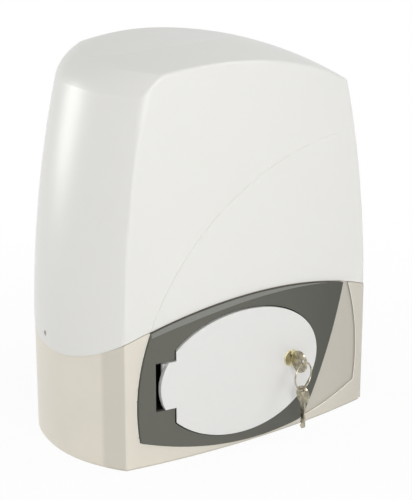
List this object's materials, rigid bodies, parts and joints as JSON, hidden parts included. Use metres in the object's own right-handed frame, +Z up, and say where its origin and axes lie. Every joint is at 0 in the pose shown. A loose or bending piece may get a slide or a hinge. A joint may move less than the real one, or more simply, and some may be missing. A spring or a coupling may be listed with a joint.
{
  "type": "sliding gate motor",
  "caption": "Sliding gate operator: cast housing with lift-off cover, dark front with an oval locked release door and hanging keys, worm drive and toothed pinion at the rear.",
  "frame": {"origin": "centre of the anchor slot pattern on the underside of the casting", "axes": "+Z up, -Y towards the front with the release door, +Y towards the drive pinion and the gate"},
  "size_m": [0.3498, 0.2506, 0.3897],
  "materials": {
    "casting": "satin paint over die-cast aluminium",
    "cover": "smooth moulded, light satin",
    "bezel": "fine-grained dark grey moulding",
    "door": "smooth moulded, light satin",
    "lock_brass": "turned and polished",
    "key_metal": "nickel-plated flat key",
    "screw_steel": "zinc-plated",
    "shaft_steel": "ground steel",
    "gear_steel": "cut teeth, lightly oiled",
    "bearing_steel": "ground races with pressed shields",
    "bronze": "hobbed bronze",
    "seal_rubber": "moulded rubber",
    "knob": "grained black moulding",
    "bush": "natural acetal",
    "motor_aluminium": "raw die-cast",
    "laminations": "stacked steel laminations",
    "board_green": "solder-masked laminate with plastic components",
    "holder_plastic": "moulded black plastic",
    "terminal_green": "moulded terminal strip",
    "button_cap": "moulded cap",
    "transformer_core": "varnished laminations and taped winding",
    "capacitor_can": "moulded can",
    "switch_case": "moulded black plastic",
    "lever_spring": "closed-wound spring steel"
  },
  "bodies": {
    "housing": {"gearbox_casting": "casting", "levelling_screws": "screw_steel", "gearbox_lid": "motor_aluminium", "lid_screws": "screw_steel", "front_bezel": "bezel", "bezel_screws": "screw_steel", "door_hinge_pin": "shaft_steel", "door_striker": "screw_steel", "knob_bush": "bush", "front_bearing": "bearing_steel", "rear_bearing": "bearing_steel", "shaft_seal": "seal_rubber", "worm_bearing": "bearing_steel", "motor_bearings": "bearing_steel", "motor_housing": "motor_aluminium", "motor_stator": "laminations", "motor_end_cap": "motor_aluminium", "motor_screws": "screw_steel", "board_holder": "holder_plastic", "control_board": "board_green", "terminal_block": "terminal_green", "transformer": "transformer_core", "run_capacitor": "capacitor_can", "capacitor_clip": "screw_steel", "limit_switch": "switch_case", "cable_grommet": "seal_rubber"},
    "cover": {"cover_shell": "cover", "cover_screws": "screw_steel"},
    "door": {"release_door": "door", "lock_housing": "lock_brass", "lock_nut": "screw_steel"},
    "lock": {"lock_plug": "lock_brass", "lock_cam": "screw_steel"},
    "key": {"door_key": "key_metal"},
    "ring": {"key_ring": "key_metal"},
    "spare": {"spare_key": "key_metal"},
    "knob": {"release_knob": "knob"},
    "output": {"output_shaft": "shaft_steel", "shaft_key": "shaft_steel", "worm_wheel": "bronze", "drive_pinion": "gear_steel", "pinion_screw": "screw_steel"},
    "clutch": {"clutch_dog": "shaft_steel"},
    "rotor": {"worm_shaft": "shaft_steel", "rotor_core": "laminations"},
    "lever": {"limit_lever": "lever_spring"},
    "button": {"program_button": "button_cap"}
  },
  "joints": [
    {"name": "cover_lift", "type": "slide", "parent": "housing", "child": "cover", "axis": [0, 0, 1], "range_m": [0, 0.25]},
    {"name": "door_hinge", "type": "hinge", "parent": "housing", "child": "door", "pos_m": [-0.104, -0.084, 0.081], "axis": [0, 0, -1], "range_deg": [0, 90]},
    {"name": "lock_turn", "type": "hinge", "parent": "door", "child": "lock", "pos_m": [0.038, -0.088, 0.078], "axis": [0, -1, 0], "range_deg": [0, 90]},
    {"name": "key_pull", "type": "slide", "parent": "lock", "child": "key", "axis": [0, -1, 0], "range_m": [0, 0.025]},
    {"name": "ring_swing", "type": "hinge", "parent": "key", "child": "ring", "pos_m": [0.038, -0.11696, 0.07855], "axis": [-1, 0, 0], "range_deg": [-4, 60]},
    {"name": "spare_swing", "type": "hinge", "parent": "ring", "child": "spare", "pos_m": [0.038, -0.11696, 0.05175], "axis": [-1, 0, 0], "range_deg": [-10, 25]},
    {"name": "knob_turn", "type": "hinge", "parent": "housing", "child": "knob", "pos_m": [-0.02, -0.072, 0.078], "axis": [0, -1, 0], "range_deg": [0, 90]},
    {"name": "output_spin", "type": "hinge", "parent": "housing", "child": "output", "pos_m": [-0.02, 0, 0.078], "axis": [0, 1, 0], "continuous": true},
    {"name": "clutch_slide", "type": "slide", "parent": "output", "child": "clutch", "axis": [0, -1, 0], "range_m": [0, 0.005]},
    {"name": "worm_spin", "type": "hinge", "parent": "housing", "child": "rotor", "pos_m": [0.0315, 0, 0.078], "axis": [0, 0, 1], "continuous": true},
    {"name": "lever_swing", "type": "hinge", "parent": "housing", "child": "lever", "pos_m": [-0.02, 0.062, 0.145], "axis": [0, 0, 1], "range_deg": [-25, 25], "stiffness_Nm_per_rad": 0.05},
    {"name": "button_push", "type": "slide", "parent": "housing", "child": "button", "axis": [1, 0, 0], "range_m": [0, 0.0004], "stiffness_N_per_m": 1500}
  ],
  "couplings": [
    {"joint": "output_spin", "follows": "worm_spin", "ratio": 0.033333},
    {"joint": "clutch_slide", "follows": "knob_turn", "m_per_rad": 0.00318}
  ]
}
